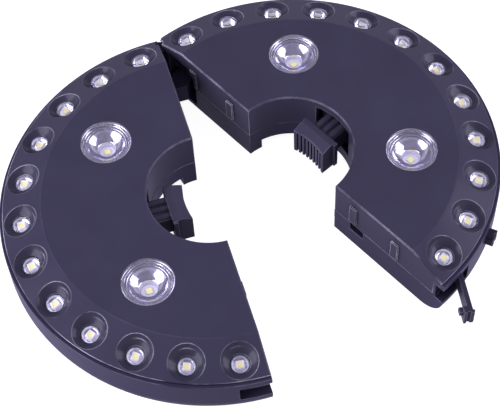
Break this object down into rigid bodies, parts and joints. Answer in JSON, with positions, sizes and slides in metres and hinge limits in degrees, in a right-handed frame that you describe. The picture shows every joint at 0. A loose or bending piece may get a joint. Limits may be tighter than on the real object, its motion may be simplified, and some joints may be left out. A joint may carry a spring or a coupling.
{
  "type": "patio umbrella light",
  "caption": "Battery light in two hinged half discs that closes round an umbrella pole, with sprung gripping jaws, a side latch, large lamps and a ring of small lamps in dished cups.",
  "frame": {"origin": "the left half's pole axis, on the plane of the back", "axes": "+Z out of the lit face along the pole, +Y from the pole to the hinge, +X from the left half to the right half"},
  "size_m": [0.267, 0.2309, 0.039],
  "materials": {
    "shell_plastic": "satin moulded",
    "grip_plastic": "fine grain",
    "clear_plastic": "clear polished",
    "bright_bowl": "bright plated",
    "emitter": "smooth",
    "circuit_board": "lacquered",
    "cell_jacket": "smooth sleeve",
    "contact_metal": "nickel plated",
    "spring_steel": "drawn wire",
    "screw_steel": "zinc plated"
  },
  "bodies": {
    "left_half": {"left_front_cover": "shell_plastic", "left_back_housing": "shell_plastic", "left_lamp_lenses": "clear_plastic", "left_lamp_reflectors": "bright_bowl", "left_lamp_emitters": "emitter", "left_small_lenses": "clear_plastic", "left_small_reflectors": "bright_bowl", "left_small_emitters": "emitter", "left_ring_board": "circuit_board", "left_main_board": "circuit_board", "left_battery_cells": "cell_jacket", "left_contact_plates": "contact_metal", "left_contact_springs": "contact_metal", "left_jaw_spring": "spring_steel", "left_cover_screws": "screw_steel", "hinge_pin": "screw_steel"},
    "right_half": {"right_front_cover": "shell_plastic", "right_back_housing": "shell_plastic", "right_lamp_lenses": "clear_plastic", "right_lamp_reflectors": "bright_bowl", "right_lamp_emitters": "emitter", "right_small_lenses": "clear_plastic", "right_small_reflectors": "bright_bowl", "right_small_emitters": "emitter", "right_ring_board": "circuit_board", "right_main_board": "circuit_board", "right_battery_cells": "cell_jacket", "right_contact_plates": "contact_metal", "right_contact_springs": "contact_metal", "right_jaw_spring": "spring_steel", "right_cover_screws": "screw_steel", "latch_pin": "screw_steel", "power_switch": "grip_plastic"},
    "left_gripping_jaw": {"left_jaw": "grip_plastic"},
    "right_gripping_jaw": {"right_jaw": "grip_plastic"},
    "latch": {"latch_arm": "grip_plastic"},
    "button": {"power_button": "grip_plastic"},
    "left_door": {"left_battery_door": "shell_plastic"},
    "right_door": {"right_battery_door": "shell_plastic"}
  },
  "joints": [
    {"name": "hinge", "type": "hinge", "parent": "left_half", "child": "right_half", "pos_m": [0, 0.1067, 0.015], "axis": [0, 0, 1], "range_deg": [-26.15, 60]},
    {"name": "left_jaw_slide", "type": "slide", "parent": "left_half", "child": "left_gripping_jaw", "axis": [-1, 0, 0], "range_m": [0, 0.012], "stiffness_N_per_m": 250, "springref_m": -0.008, "deforming": ["left_jaw_spring"]},
    {"name": "right_jaw_slide", "type": "slide", "parent": "right_half", "child": "right_gripping_jaw", "axis": [0.8976, 0.4407, 0], "range_m": [0, 0.012], "stiffness_N_per_m": 250, "springref_m": -0.008, "deforming": ["right_jaw_spring"]},
    {"name": "latch_pivot", "type": "hinge", "parent": "right_half", "child": "latch", "pos_m": [0.10784, -0.07687, 0.0208], "axis": [0, 0, 1], "range_deg": [-50.5, 20]},
    {"name": "button_press", "type": "slide", "parent": "right_half", "child": "button", "axis": [-0.7518, 0.6593, 0], "range_m": [0, 0.0012], "stiffness_N_per_m": 900, "springref_m": -0.001},
    {"name": "left_door_slide", "type": "slide", "parent": "left_half", "child": "left_door", "axis": [-1, 0, 0], "range_m": [0, 0.058]},
    {"name": "right_door_slide", "type": "slide", "parent": "right_half", "child": "right_door", "axis": [0.8976, 0.4407, 0], "range_m": [0, 0.058]}
  ]
}
